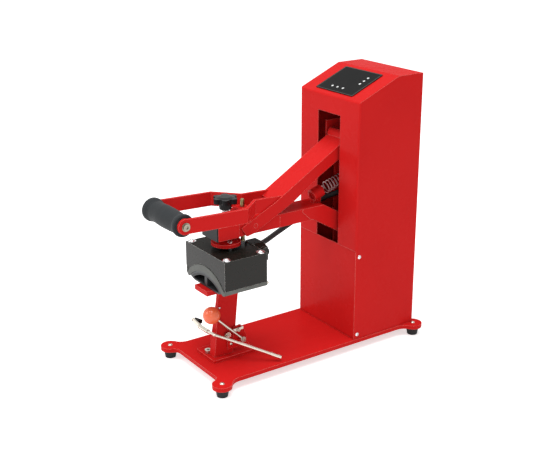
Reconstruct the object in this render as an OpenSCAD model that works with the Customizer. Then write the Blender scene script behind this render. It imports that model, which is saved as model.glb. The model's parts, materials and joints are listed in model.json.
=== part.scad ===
// Cap heat press: base, tower, toggle lever, curved heater head over a curved cap platen.
// Millimetres. +Z up, +Y to the back of the machine, +X to the operator's right.
// Working coordinates put z = 0 on the deck and y = 0 on the tower front; seat() moves
// them so that the feet stand on z = 0 and the origin is the middle of the footprint.

/* [Tower] */
// width of the tower
tower_w = 205; // [180:1:230]
// depth of the tower
tower_d = 171; // [150:1:200]
// height of the tower above the deck
tower_h = 577.3; // [520:0.1:640]
// height of the front face above the deck, where the slanted panel starts
front_h = 532.8; // [480:0.1:600]
// horizontal depth of the slanted panel
slant_d = 103.8; // [80:0.1:130]
// sheet thickness of the tower
sheet = 2; // [1.5:0.1:3]
// half width of the slot in the tower front
slot_x = 38.4; // [37:0.1:42]
// bottom of the slot and top of the lower front panel
slot_z0 = 208; // [190:1:220]
// top of the slot
slot_z1 = 494.6; // [480:0.1:510]

/* [Base] */
// thickness of the base plate
plate_t = 9; // [6:0.5:14]
// height of the deck over the floor
deck_z = 27; // [24:1:40]
// half width of the plate between the lobes
plate_x = 104.5; // [103:0.5:115]
// sideways place of the foot screws
foot_x = 108; // [100:1:115]
// place of the front foot screws
foot_y0 = -346; // [-360:1:-335]
// place of the rear foot screws
foot_y1 = 169; // [160:1:180]
// radius of the foot lobes
lobe_r = 21; // [16:1:30]

/* [Linkage] */
// height of the arm hinge in the tower
arm_pivot_z = 210; // [205:1:215]
// lift angle of the press arm
lift_a = 13.5; // [5:0.5:14]
// turn of the lever against the arm over the same travel
lever_a = 9.5; // [4:0.5:10]
// radius of the arm hinge pin
pin_r = 8; // [6:0.5:9]
// radial clearance of running fits
fit = 0.08; // [0.04:0.01:0.1]

/* [Head] */
// right side of the head cover
cover_x = 75.5; // [70:0.5:80]
// left side of the head cover, a little wider than the right
cover_left = 79.5; // [70:0.5:84]
// top of the head cover
cover_z = 245.4; // [240:0.1:248]
// inner radius of the heater platen
heat_r = 93; // [92.9:0.1:95]
// radius of the silicone pad on the cap platen
pad_r = 92.6; // [90:0.1:92.6]
// radius of the pressure screw
screw_r = 7.5; // [6:0.5:8]
// radius of the guide rod
rod_r = 4.5; // [4:0.1:5]

/* [Handle] */
// half distance over the handle bars
fork_x = 72; // [60:1:74]
// body radius of the foam grip
grip_r = 22; // [18:0.5:24]

/* [Hidden] */
$fn = 40;
mid_y = 113.5;
hx = tower_w / 2;
arm_pt = [85, arm_pivot_z];
lever_pt = [-210, 290];
rear_pt = [34, 440];
screw_y = -264;
rod_y = -222.7;
slant_a = atan((tower_h - front_h) / slant_d);
frame_x0 = 36;
frame_x1 = 40;
cover_y0 = -315;
cover_y1 = -212.5;
arc_z = 106;
arch_z = 119.5;
arch_r = 94.5;
paint = [0.78, 0.08, 0.07];
black = [0.09, 0.09, 0.1];
steel = [0.72, 0.72, 0.74];
chrome = [0.86, 0.86, 0.88];

// ---- helpers ----
module seat() {
  translate([0, mid_y, deck_z]) children();
}
// outline in y and z, run along x
module slab(x0, x1, pts) {
  translate([x0, 0, 0]) rotate([90, 0, 90]) linear_extrude(x1 - x0) polygon(pts);
}
// outline in x and z, run along y
module wall(y0, y1, pts) {
  translate([0, y1, 0]) rotate([90, 0, 0]) linear_extrude(y1 - y0) polygon(pts);
}
module box(x0, x1, y0, y1, z0, z1) {
  translate([x0, y0, z0]) cube([x1 - x0, y1 - y0, z1 - z0]);
}
// round bar along x at a y, z place
module bar_x(p, x0, x1, r) {
  translate([x0, p.x, p.y]) rotate([0, 90, 0]) cylinder(h = x1 - x0, r = r);
}
module bar_y(x, z, y0, y1, r) {
  translate([x, y1, z]) rotate([90, 0, 0]) cylinder(h = y1 - y0, r = r);
}
module bar_z(x, y, z0, z1, r) {
  translate([x, y, z0]) cylinder(h = z1 - z0, r = r);
}
// round bar between two points
module rod(p, q, r) {
  d = q - p;
  l = norm(d);
  translate(p) rotate([0, acos(d.z / l), atan2(d.y, d.x)]) cylinder(h = l, r = r);
}
module both() {
  children();
  mirror([1, 0, 0]) children();
}
// domed head with a cross recess, z up, seat at z = 0
module dome(r, h) {
  difference() {
    intersection() {
      translate([0, 0, h - (r * r + h * h) / (2 * h)]) sphere(r = (r * r + h * h) / (2 * h));
      cylinder(h = h + 1, r = r);
    }
    translate([-r * 0.55, -r * 0.09, h * 0.45]) cube([r * 1.1, r * 0.18, h]);
    translate([-r * 0.09, -r * 0.55, h * 0.45]) cube([r * 0.18, r * 1.1, h]);
  }
}
// hexagon socket head, z up
module socket_head(r, h) {
  difference() {
    cylinder(h = h, r = r);
    translate([0, 0, h * 0.45]) cylinder(h = h, r = r * 0.52, $fn = 6);
  }
}
// a point turned about c, front end up, in y and z
function turn(p, c, a) = let(d = p - c)
  [c.x + d.x * cos(a) + d.y * sin(a), c.y - d.x * sin(a) + d.y * cos(a)];
function arc(c, r, a0, a1, n) =
  [for (i = [0:n]) c + r * [cos(a0 + (a1 - a0) * i / n), sin(a0 + (a1 - a0) * i / n)]];
function unit(v) = v / norm(v);
// outline with its corners rounded
function soft(pts, r, n = 4) = [for (i = [0:len(pts) - 1])
  let(a = pts[(i + len(pts) - 1) % len(pts)], b = pts[i], c = pts[(i + 1) % len(pts)],
    u = unit(a - b), v = unit(c - b), h = acos(u * v) / 2, t = r / tan(h),
    m = b + unit(u + v) * (r / sin(h)), p = b + u * t - m, q = b + v * t - m,
    a0 = atan2(p.y, p.x), a1 = atan2(q.y, q.x),
    d = a1 - a0 > 180 ? a1 - a0 - 360 : a1 - a0 < -180 ? a1 - a0 + 360 : a1 - a0)
  for (k = [0:n]) m + r * [cos(a0 + d * k / n), sin(a0 + d * k / n)]];

// ---- wound and bent forms ----
function tangents(p) = [for (i = [0:len(p) - 1])
  unit(p[min(i + 1, len(p) - 1)] - p[max(i - 1, 0)])];
function carried(t, i, u) = i == len(t) ? [] :
  let(v = u - (u * t[i]) * t[i], w = unit(v)) concat([w], carried(t, i + 1, w));
module tube(p, r, n, u0) {
  t = tangents(p);
  u = carried(t, 0, u0);
  pts = [for (i = [0:len(p) - 1]) let(w = cross(t[i], u[i]))
    for (j = [0:n - 1]) p[i] + r * (cos(360 * j / n) * u[i] + sin(360 * j / n) * w)];
  side = [for (i = [0:len(p) - 2]) for (j = [0:n - 1]) let(k = (j + 1) % n)
    each [[i * n + j, (i + 1) * n + j, (i + 1) * n + k], [i * n + j, (i + 1) * n + k, i * n + k]]];
  last = (len(p) - 1) * n;
  polyhedron(pts, concat(side, [[for (j = [0:n - 1]) j]], [[for (j = [n - 1:-1:0]) last + j]]));
}
function mids(p) = [for (i = [0:len(p) - 2]) for (k = [0:3]) let(t = k / 4,
  a = p[max(i - 1, 0)], b = p[i], c = p[i + 1], d = p[min(i + 2, len(p) - 1)])
  0.5 * (2 * b + (c - a) * t + (2 * a - 5 * b + 4 * c - d) * t * t
    + (3 * b - a - 3 * c + d) * t * t * t)];

spring_a = 17.6;
spring_u = [0, cos(spring_a), sin(spring_a)];
spring_v = [0, -sin(spring_a), cos(spring_a)];
spring_0 = [0, -19, 324.6];
spring_len = 137.1;
spring_n = 128;
coil_r = 12.3;
wire_r = 1.3;
spring_pts = concat([spring_0 + 0.02 * spring_u, spring_0 + 3.2 * spring_u],
  [for (i = [0:spring_n]) let(r = coil_r * min(1, (i + 0.4) / 6, (spring_n - i + 0.4) / 6),
    s = 6 + (spring_len - 12) * i / spring_n)
    spring_0 + s * spring_u + r * cos(45 * i) * [1, 0, 0] + r * sin(45 * i) * spring_v],
  [spring_0 + (spring_len - 3.2) * spring_u, spring_0 + (spring_len - 0.02) * spring_u]);
gaps = [for (i = [0:4:len(spring_pts) - 10]) for (j = [i + 6:len(spring_pts) - 1])
  norm(spring_pts[i] - spring_pts[j]) - 2 * wire_r];
echo(spring_least_gap = min(gaps), spring_rings = len(spring_pts));

cable_r = 5.8;
cable_hole = [-199, 226];
cable_keys = [[-25.4, -199, 226], [-30.2, -199, 226], [-34.6, -196, 224.4],
  [-36.6, -188, 220.2], [-35.4, -171, 216.2], [-34, -144.9, 222.1], [-34, -115, 234.5],
  [-34, -86.8, 246.2], [-34, -40, 266.5], [-34.8, -12, 284.5], [-32, -1, 290],
  [-31.2, 8, 292.5], [-28, 24, 297], [-20, 44, 303.5], [-12, 68, 309], [-9, 95, 308],
  [-8, 122, 293], [-8, 136, 266], [-8, 145, 249.6], [-8, 154, 249]];
cable_pts = concat(mids(cable_keys), [cable_keys[len(cable_keys) - 1]]);

// ---- base ----
edge_y0 = -341;
edge_y1 = 172;
nook_r = 15;
flank_r = 28;
// centre of the nook between an end edge and its lobe
function nook(edge, fy, s) = let(y = edge - s * nook_r)
  [foot_x - sqrt(pow(lobe_r + nook_r, 2) - pow(y - fy, 2)), y];
flank_dx = plate_x + flank_r - foot_x;
flank_dy = sqrt(pow(lobe_r + flank_r, 2) - flank_dx * flank_dx);
flank_a = atan2(flank_dy, flank_dx);
nook_0 = nook(edge_y0, foot_y0, 1);
nook_1 = nook(edge_y1, foot_y1, -1);
nook_a0 = atan2(foot_y0 - nook_0.y, foot_x - nook_0.x);
nook_a1 = atan2(nook_1.y - foot_y1, nook_1.x - foot_x);
half_edge = concat(arc(nook_0, nook_r, 90, nook_a0, 5),
  arc([foot_x, foot_y0], lobe_r, 180 + nook_a0, 360 + flank_a, 16),
  arc([foot_x + flank_dx, foot_y0 + flank_dy], flank_r, 180 + flank_a, 180, 5),
  arc([foot_x + flank_dx, foot_y1 - flank_dy], flank_r, 180, 180 - flank_a, 5),
  arc([foot_x, foot_y1], lobe_r, -flank_a, nook_a1, 16),
  arc(nook_1, nook_r, nook_a1 - 180, -90, 5));
base_edge = concat(half_edge,
  [for (i = [len(half_edge) - 1:-1:0]) [-half_edge[i].x, half_edge[i].y]]);
module base_plate() color(paint) seat() difference() {
  translate([0, 0, -plate_t]) linear_extrude(plate_t) polygon(base_edge);
  for (y = [foot_y0, foot_y1]) both() bar_z(foot_x, y, -20, 5, 2.6);
  for (y = foot_bolts) bar_z(-18, y, -20, 5, 4.1);
  for (y = [60, 135]) both() bar_z(51, y, -20, 5, 3.1);
}
module rubber_feet() color(black) seat() for (y = [foot_y0, foot_y1]) both() difference() {
  translate([foot_x, y, -deck_z]) cylinder(h = deck_z - plate_t, r1 = 11.5, r2 = 14.7);
  bar_z(foot_x, y, -deck_z - 1, -plate_t + 1, 2.6);
  bar_z(foot_x, y, -deck_z - 1, -deck_z + 7, 6);
}
module foot_screws() color(steel) seat() for (y = [foot_y0, foot_y1]) both()
  translate([foot_x, y, 0]) {
    dome(5.2, 3);
    translate([0, 0, -23.5]) cylinder(h = 24, r = 2.55);
    translate([0, 0, -deck_z + 3.9]) cylinder(h = 3, r = 4.6, $fn = 6);
  }

// ---- tower ----
module tower_shell() color(paint) seat() difference() {
  intersection() {
    slab(-hx, hx, concat([[0, 0]], arc([6, front_h - 4], 6, 180, 113, 4),
      arc([slant_d + 1.6, tower_h - 8], 8, 113, 90, 2), [[tower_d, tower_h], [tower_d, 0]]));
    translate([0, 0, -1]) linear_extrude(tower_h + 5) polygon(concat(
      [[-hx, tower_d + 1]], arc([-hx + 4, 4], 4, 180, 270, 5),
      arc([hx - 4, 4], 4, 270, 360, 5), [[hx, tower_d + 1]]));
  }
  difference() {
    slab(-hx + sheet, hx - sheet, [[sheet, -1], [sheet, front_h - 1.6],
      [slant_d + 0.4, tower_h - sheet], [tower_d + 5, tower_h - sheet], [tower_d + 5, -1]]);
    // bottom return flanges and rear return flanges
    both() box(hx - 18, hx, 30, tower_d - 12, -2, 2);
    both() box(hx - 14, hx, tower_d - 4, tower_d - 2, 10, 567);
    box(-hx, hx, tower_d - 4, tower_d - 2, 563, tower_h);
  }
  box(-slot_x, slot_x, -1, 4, slot_z0 - 2, slot_z1);
  box(-hx + sheet, hx - sheet, -1, 5, -1, slot_z0);
  both() {
    bar_x([10, 194], hx - 4, hx + 1, 2.1);
    bar_x([9, 10.5], hx - 4, hx + 1, 2.1);
    for (z = [30, 285, 545]) bar_y(hx - 8, z, tower_d - 5, tower_d + 1, 1.9);
  }
  // membrane cable slot under the panel
  translate([0, 0, front_h]) rotate([slant_a, 0, 0]) box(-22, 22, 60, 80, -8, 4);
}
module rear_cover() color(paint) seat() difference() {
  box(-hx + sheet + 0.3, hx - sheet - 0.3, tower_d - 2, tower_d, 1, tower_h - sheet - 0.3);
  both() for (z = [30, 285, 545]) bar_y(hx - 8, z, tower_d - 5, tower_d + 1, 1.9);
  for (i = [0:7]) both() box(14, 62, tower_d - 5, tower_d + 1, 440 + i * 10, 444 + i * 10);
  box(-24, 24, tower_d - 5, tower_d + 1, 76, 104);
  box(-64.2, -37.8, tower_d - 5, tower_d + 1, 79.5, 100.5);
}
module lower_front_panel() color(paint) seat() difference() {
  box(-hx + sheet + 0.2, hx - sheet - 0.2, 0.8, 24, 0.2, slot_z0 - 0.5);
  box(-hx + 2 * sheet + 0.2, hx - 2 * sheet - 0.2, 2.8, 30, -1, slot_z0 + 1);
  both() {
    bar_x([10, 194], hx - 8, hx + 1, 2.1);
    bar_x([9, 10.5], hx - 8, hx + 1, 2.1);
  }
}
// dome screws of the tower and the post
module small_screws() color(chrome) seat() {
  both() {
    for (p = [[10, 194], [9, 10.5]]) translate([hx, p.x, p.y]) rotate([0, 90, 0]) {
      dome(4.6, 2.6);
      translate([0, 0, -7]) cylinder(h = 7.5, r = 2.05);
    }
    for (z = [30, 285, 545]) translate([hx - 8, tower_d, z]) rotate([-90, 0, 0]) {
      dome(3.6, 2);
      translate([0, 0, -8]) cylinder(h = 8.5, r = 1.85);
    }
  }
  translate([5.5, post_screw.x, post_screw.y]) rotate([0, 90, 0]) {
    dome(3, 2);
    translate([0, 0, -7]) cylinder(h = 7.5, r = 2);
  }
}

// ---- inner frame with the guide tracks ----
track_r = 6.9;
track_n = 20;
track = [for (i = [0:track_n]) let(t = i / track_n)
  turn(turn(rear_pt, lever_pt, lever_a * t), arm_pt, lift_a * t)];
function track_dir(i) = unit(track[min(i + 1, track_n)] - track[max(i - 1, 0)]);
function side_of(i, s) = let(d = track_dir(i)) track[i] + s * track_r * [-d.y, d.x];
track_a0 = atan2(track_dir(0).y, track_dir(0).x);
track_a1 = atan2(track_dir(track_n).y, track_dir(track_n).x);
track_pts = concat([for (i = [0:track_n]) side_of(i, 1)],
  arc(track[track_n], track_r, track_a1 + 78, track_a1 - 78, 12),
  [for (i = [track_n:-1:0]) side_of(i, -1)],
  arc(track[0], track_r, track_a0 - 102, track_a0 - 258, 12));
module frame_half() difference() {
  union() {
    slab(frame_x0, frame_x1, [[46, 0], [46, 360], [21, 392], [21, 468], [128, 468],
      [152, 440], [152, 0]]);
    box(frame_x0, 64, 46, 152, 0, 4);
  }
  slab(frame_x0 - 1, frame_x1 + 1, track_pts);
  bar_x(arm_pt, frame_x0 - 1, frame_x1 + 1, pin_r);
  for (p = [[140, 60], [140, 430], [128, 373]]) bar_x(p, frame_x0 - 1, frame_x1 + 1, 3.1);
  for (y = [60, 135]) bar_z(51, y, -1, 5, 3.1);
}
module frame_plate_right() color(paint) seat() frame_half();
module frame_plate_left() color(paint) seat() mirror([1, 0, 0]) frame_half();
module frame_bolts() color(steel) seat() both() for (y = [60, 135]) translate([51, y, 4]) {
  cylinder(h = 4, r = 5.6, $fn = 6);
  translate([0, 0, -16.5]) cylinder(h = 17, r = 3.05);
  translate([0, 0, -17.5]) cylinder(h = 4.5, r = 5.2, $fn = 6);
}
module frame_spacers() color(steel) seat() {
  for (p = [[140, 60], [140, 430]]) {
    bar_x(p, -frame_x0, frame_x0, 7);
    both() {
      bar_x(p, frame_x0 - 2, frame_x1 + 2, 3.05);
      bar_x(p, frame_x1, frame_x1 + 3.5, 5.5);
    }
  }
  // spring anchor rail with its seat
  difference() {
    union() {
      bar_x([128, 373], -frame_x0, frame_x0, 6);
      translate(spring_0 + spring_len * spring_u) rotate([spring_a - 90, 0, 0]) cylinder(h = 13, r = 8);
      both() {
        bar_x([128, 373], frame_x0 - 2, frame_x1 + 2, 3.05);
        bar_x([128, 373], frame_x1, frame_x1 + 3.5, 5.5);
      }
    }
  }
}
module arm_pivot_pin() color(steel) seat() {
  bar_x(arm_pt, -frame_x1 - 1, frame_x1 + 1, pin_r - 0.005);
  both() bar_x(arm_pt, frame_x1, frame_x1 + 5, 12);
}

// ---- controls ----
module on_slant() translate([0, 0, front_h + 0.86]) rotate([slant_a, 0, 0]) children();
module rounded(x0, x1, y0, y1, z0, z1, r) translate([0, 0, z0]) linear_extrude(z1 - z0)
  polygon(soft([[x0, y0], [x1, y0], [x1, y1], [x0, y1]], r));
dots = [[-22.5, 28.5], [-5.4, 28.5], [13, 28.5], [39, 55.5], [39, 67.5], [39, 79.5]];
module control_membrane() color(black) seat() on_slant() difference() {
  rounded(-62.5, 62.5, 12, 102.5, 0.02, 1, 3);
  for (p = dots) bar_z(p.x, p.y, 0.6, 2, 2.9);
}
module panel_keys() color([0.9, 0.92, 0.92]) seat() on_slant() for (p = dots) bar_z(p.x, p.y, 0.62, 1.5, 2.7);
module board_posts() color(steel) seat() on_slant() for (x = [-52, 52]) for (y = [22, 94])
  bar_z(x, y, -13.95, -3.05, 3);
module control_board() color([0.1, 0.35, 0.18]) seat() on_slant() {
  box(-58, 58, 16, 100, -15.6, -14);
  box(-42, -6, 60, 82, -14.01, -6);
  box(16, 40, 30, 50, -14.01, -4);
  box(-50, -20, 26, 44, -40, -15.59);
  for (y = [30, 45, 60]) bar_z(20, y, -24, -15.59, 5);
}
module relay() color(black) seat() {
  box(-frame_x1 - 22.5, -frame_x1, 80, 125, 95, 153);
  box(-frame_x1 - 26.5, -frame_x1 - 22.4, 84, 121, 101, 147);
}
module terminal_strip() color([0.85, 0.83, 0.75]) seat() difference() {
  box(-32, 32, 155, tower_d - 2, 236, 262);
  for (x = [-24, 8, 24]) bar_y(x, 249, 150, 162, 3);
}
module power_inlet() color(black) seat() difference() {
  union() {
    box(-23.9, 23.9, 140, tower_d + 1, 76.1, 103.9);
    box(-26.5, 26.5, tower_d, tower_d + 3.5, 73, 107);
  }
  box(-15, 15, 148, tower_d + 5, 80, 98);
}
rocker_pt = [168, 90];
module switch_bezel() color(black) seat() difference() {
  union() {
    box(-64, -38, 154, tower_d + 1, 79.7, 100.3);
    box(-67, -35, tower_d, tower_d + 2.5, 76.5, 103.5);
  }
  box(-62, -40, 156, tower_d + 5, 81.5, 98.5);
  bar_x(rocker_pt, -63.5, -38.5, 2.2 + fit);
}
module power_switch() color([0.6, 0.05, 0.05]) seat() {
  slab(-61.6, -40.4, [[162, 86], [162, 94], [tower_d + 1, 96.8], [tower_d + 1.6, 90],
    [tower_d + 4, 83.8], [tower_d, 83.2]]);
  bar_x(rocker_pt, -63.4, -38.6, 2.2);
}

// ---- cap post, platen and clamp ----
foot_t = 6;
foot_bolts = [-303, -222];
post_screw = [-286.5, 114.6];
bar_pivot = [-272, 51.5];
ball_pivot = [-242, 38];
lug_pt = [-248.6, 59.5];
module post_foot() color(paint) seat() difference() {
  linear_extrude(foot_t) polygon(soft([[-49, -314], [24, -314], [24, -205], [-49, -205]], 4));
  for (y = foot_bolts) bar_z(-18, y, -1, foot_t + 1, 4.1);
}
module post() color(paint) seat() difference() {
  // the sides taper above the clamp
  intersection() {
    slab(-12, 12, [[-304.1, foot_t], [-286.2, 157.5], [-236.5, 157.5], [-239, 137],
      [-250.5, 62], [-258.5, foot_t]]);
    wall(-310, -230, [[-10.5, 0], [10.5, 0], [10.5, 46], [4, 130], [4, 170], [-4, 170],
      [-4, 130], [-10.5, 46]]);
  }
  bar_x(post_screw, -2.5, 8, 2.05);
  bar_x([-264, 28], 3, 12, 2.05);
  bar_x(bar_pivot, -12, 12, 3.02);
}
// bolts of the post's foot and of the brim clamp
module post_bolts() color(steel) seat() {
  for (y = foot_bolts) {
    translate([-18, y, foot_t]) {
      if (y < -300) socket_head(7.4, 7.5);
      else cylinder(h = 6, r = 7, $fn = 6);
    }
    bar_z(-18, y, -13, foot_t + 0.5, 4.05);
    bar_z(-18, y, -14.4, -9.1, 7, $fn = 6);
  }
  // pivot of the brim bar, through the post
  bar_x(bar_pivot, -12, 15.8, 3);
  translate([15.7, bar_pivot.x, bar_pivot.y]) rotate([0, 90, 0]) socket_head(3.9, 2);
  translate([-14.6, bar_pivot.x, bar_pivot.y]) rotate([0, 90, 0]) cylinder(h = 4, r = 5.4, $fn = 6);
  // pivot of the ball lever
  bar_x(ball_pivot, 4.5, 28.8, 3);
  bar_x(ball_pivot, 13.5, 21.5, 5);
  translate([28.7, ball_pivot.x, ball_pivot.y]) rotate([0, 90, 0]) socket_head(4.4, 2.4);
  translate([6.4, ball_pivot.x, ball_pivot.y]) rotate([0, 90, 0]) cylinder(h = 4.1, r = 5.4, $fn = 6);
  // lug riveted to the bracket
  bar_x(lug_pt, 10.6, 19, 3);
  slab(13.5, 18.2, [for (p = [[-14, -3.6], [13, -1], [13, 4], [-12, 4]]) lug_pt + p]);
  translate([18.1, lug_pt.x, lug_pt.y]) rotate([0, 90, 0]) socket_head(3.4, 3);
  translate([13.5, -264, 28]) rotate([0, 90, 0]) {
    dome(3.6, 2.2);
    translate([0, 0, -9]) cylinder(h = 9.5, r = 2.04);
  }
}
module platen_carrier() color(paint) seat() difference() {
  box(-24.5, 24.5, -327.4, -226, 157.5, 168);
  for (y = [-296, -240]) both() bar_z(15, y, 150, 170, 2.6);
}
module lower_platen() color([0.3, 0.3, 0.32]) seat() difference() {
  wall(-314.5, -214, concat([[-48, 168], [48, 168]],
    arc([0, arc_z], 89.2, acos(60 / 89.2), 180 - acos(60 / 89.2), 24)));
  // pockets of the cast frame, open to the front
  both() wall(-320, -262, concat([[5, 171.5], [44, 171.5]],
    arc([0, arc_z], 84.5, acos(51 / 84.5), acos(5 / 84.5), 10)));
}
module silicone_pad() color([0.15, 0.18, 0.19]) seat() wall(-315, -213.5, concat(
  arc([0, arc_z], 89.2, 180 - acos(59.9 / 89.2), acos(59.9 / 89.2), 24),
  arc([0, arc_z], pad_r, acos(61.5 / pad_r), 180 - acos(61.5 / pad_r), 24)));
module clamp_bracket() color(paint) seat() difference() {
  slab(10.5, 13.5, [[-273, 18], [-273, 36], [-260, 39], [-257, 66], [-240, 68], [-233, 58],
    [-226, 40], [-226, 18]]);
  bar_x([-264, 28], 8, 15, 2.05);
  bar_x(ball_pivot, 8, 15, 3.01);
  bar_x(lug_pt, 8, 15, 3.01);
}
strip_mid = [-63, -305, 60];
bar_knee = [-45.2, -305, 57];
bar_mid = [-12, -306, 58.9];
bar_bend = [18.9, -308, 63.5];
bar_end = [94.4, -191, 9];
bar_r = 3.4;
sleeve_u = unit(bar_mid - bar_knee);
module clamp_bar() color(chrome) seat() {
  difference() {
    union() {
      rod(bar_knee - 4 * sleeve_u, bar_mid + 2 * sleeve_u, 4.9);
      rod(bar_knee - 3 * sleeve_u, bar_knee, 5.4);
      rod(bar_mid - 4 * unit(bar_bend - bar_mid), bar_bend, bar_r);
      translate(bar_bend) sphere(r = bar_r + 0.4);
      rod(bar_bend, bar_end, bar_r);
      rod(bar_end, bar_end + 0.16 * (bar_bend - bar_end), 4.2);
      // eye on the pivot bolt with its strap to the bar
      bar_x(bar_pivot, 10.9, 15.4, 6.8);
      rod([13.15, -277.8, 52.8], bar_bend + 0.147 * (bar_end - bar_bend), 3, $fn = 4);
    }
    bar_x(bar_pivot, 8, 17, 3 + fit);
  }
  on_strip() difference() {
    wall(-1.9, 1.9, concat([[16, -4.1], [16, 4.1]], arc([-11.8, 0], 4.5, 90, 270, 10)));
    bar_y(-11.8, 0, -3, 3, 1.8);
  }
}
module on_strip() translate(strip_mid) rotate([0, 9.5, 0]) children();
// rubber wedge behind the flattened tip
module clamp_shoe() color([0.16, 0.16, 0.17]) seat() on_strip()
  translate([0, 0, -4]) linear_extrude(9.2) polygon([[-8.5, 1.9], [3, 1.9], [3, 14], [-12, 5.5], [-12, 3.5]]);
ball_c = [13.5, -311, 107.2];
ball_hub = [25, ball_pivot.x, ball_pivot.y];
rod_tip = ball_hub + 0.87 * (ball_c - ball_hub);
module clamp_lever() color(steel) seat() {
  difference() {
    union() {
      bar_x(ball_pivot, 21.7, 28.4, 6.4);
      rod(ball_hub + 0.05 * (ball_c - ball_hub), rod_tip, 2.8);
    }
    bar_x(ball_pivot, 18, 32, 3 + fit);
  }
}
module clamp_ball() color([0.85, 0.2, 0.1]) seat() difference() {
  translate(ball_c) sphere(r = 18.6);
  rod(ball_hub, ball_hub + 0.8701 * (ball_c - ball_hub), 2.82);
}

// ---- press arm ----
module arm_tube() color(paint) seat() difference() {
  union() {
    box(-26.5, 26.5, -249.5, -146.02, 272, 301);
    box(-20, 20, -147, -120, 272, 301);
  }
  box(-23.5, 23.5, -260, -150, 275, 298);
  box(-17, 17, -155, -110, 275, 298);
  bar_x(lever_pt, -30, 30, 5);
  bar_z(0, rod_y, 260, 310, 6);
}
function arm_rear_top(y) = 301 - 0.58 * (y + 31);
function arm_rear_bot(y) = 272.5 - 0.6 * (y + 58);
module arm_channel() color(paint) seat() difference() {
  union() {
    slab(-26.5, 26.5, [[-146, 272], [-146, 301], [-31, 301], [-20, 294], [-58, 272.5]]);
    slab(-27.5, 27.5, [[-88, 295], [-86, 301], [-31, 301], [74, arm_rear_top(74)],
      [96, arm_rear_top(96)], [74, arm_rear_bot(74)], [-58, 272.5], [-67, 274.7]]);
    bar_x(arm_pt, -27.5, 27.5, 20.2);
  }
  // open underside, with the tube let in at the front
  slab(-23.5, 23.5, [[-150, 260], [-150, 298], [-32, 298], [60, arm_rear_top(60) - 3.5],
    [62, arm_rear_top(62) + 20], [140, 240], [140, 160], [60, 160], [-58, 260]]);
  box(-20, 20, -150, -120, 271, 301.01);
  bar_x(arm_pt, -30, 30, 13);
}
module arm_bush() color(steel) seat() difference() {
  bar_x(arm_pt, -frame_x0 + 0.4, frame_x0 - 0.4, 13);
  bar_x(arm_pt, -frame_x0 - 1, frame_x0 + 1, pin_r + fit);
}
module front_block() color(paint) seat() difference() {
  box(-30, 30, -300, -249.5, 272, 301);
  box(-27, 27, -310, -252.5, 275, 298);
  bar_z(0, screw_y, 260, 310, screw_r + 1);
}
module arm_end_cap() color([0.2, 0.2, 0.21]) seat() {
  box(-30, 30, -303, -300, 272, 301);
  box(-27, 27, -300.01, -291, 275, 298);
}
module screw_nut() color(steel) seat() difference() {
  box(-15, 15, -279, -252.5, 275, 298);
  bar_z(0, screw_y, 260, 310, screw_r + fit);
}
module guide_block() color(paint) seat() difference() {
  slab(-14, 14, [[-249.5, 301], [-249.5, 314], [-236, 326], [-211, 326], [-211, 301]]);
  bar_z(0, rod_y, 290, 330, rod_r + fit);
}
module lever_pin() color(paint) seat() bar_x(lever_pt, -31, 31, 4.995);
module spring_boss() color(paint) seat() difference() {
  union() {
    translate(spring_0) rotate([spring_a + 90, 0, 0]) cylinder(h = 26.5, r = 13.3);
    slab(-6, 6, [[-44, 299], [-42, 312], [-22, 320], [-24, 299]]);
  }
  translate(spring_0 - 21.5 * spring_u) rotate([spring_a + 90, 0, 0]) cylinder(h = 10, r = 9);
  box(-27.5, 27.5, -90, -31, 280, 301);
  slab(-27.5, 27.5, [[-32, 270], [-31, 301], [0, arm_rear_top(0)], [0, 270]]);
}
module return_spring() color(chrome) seat() tube(spring_pts, wire_r, 6, [1, 0, 0]);

// ---- lever and handle ----
function web_z(y) = 426.1 + 0.592 * y;
module lever_channel() color(paint) seat() difference() {
  union() {
    slab(-31, 31, [[-160, web_z(-160)], [30, web_z(30)], [47, 434], [40, 424], [9.6, 400.5],
      [-45, 370], [-115, 323.5], [-158, 302], [-216, 273.6], [-232, 270.5], [-244.2, 290.3]]);
    bar_x(rear_pt, -31, 31, 14);
  }
  slab(-28, 28, [[-260, 240], [-260, 380], [-158, 380], [-158, web_z(-158) - 3.5],
    [28.6, web_z(28.6) - 3.5], [28.6, 480], [70, 480], [70, 370], [9.6, 370], [-148, 280]]);
  // room for the fork's end plates beside the web
  both() box(21.9, 28, -170, -142.8, 250, 360);
  bar_x(lever_pt, -40, 40, 5 + fit);
  bar_x(rear_pt, -40, 40, 6.4);
}
module rear_roller() color([0.33, 0.33, 0.35]) seat() {
  bar_x(rear_pt, -43, 43, 6.39);
  both() bar_x(rear_pt, 42, 44.5, 10);
}
module fork_half() {
  translate([0, -180, 327]) rotate([-2.2, 0, 0]) translate([0, 180, -325.8]) difference() {
    union() {
      translate([0, 0, 312]) linear_extrude(30) polygon([[fork_x, -398], [fork_x, -256],
        [28, -208], [28, -143], [22, -143], [22, -210.1], [fork_x - 6, -258.1], [fork_x - 6, -398]]);
      bar_x([-398, 327], fork_x - 6, fork_x, 16);
    }
    bar_x([-398, 327], fork_x - 10, fork_x + 4, 4.1);
    // bevel that clears the raised arm
    slab(20, 30, [[-184, 311], [-184, 312], [-142, 319], [-142, 311]]);
  }
}
grip_pt = [-397.8, 336.57];
module fork_bars() color(paint) seat() both() fork_half();
module grip_tube() color(steel) seat() difference() {
  bar_x(grip_pt, -fork_x + 6, fork_x - 6, 9);
  bar_x(grip_pt, -fork_x, fork_x, 4.05);
}
grip_half = fork_x - 7;
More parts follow.
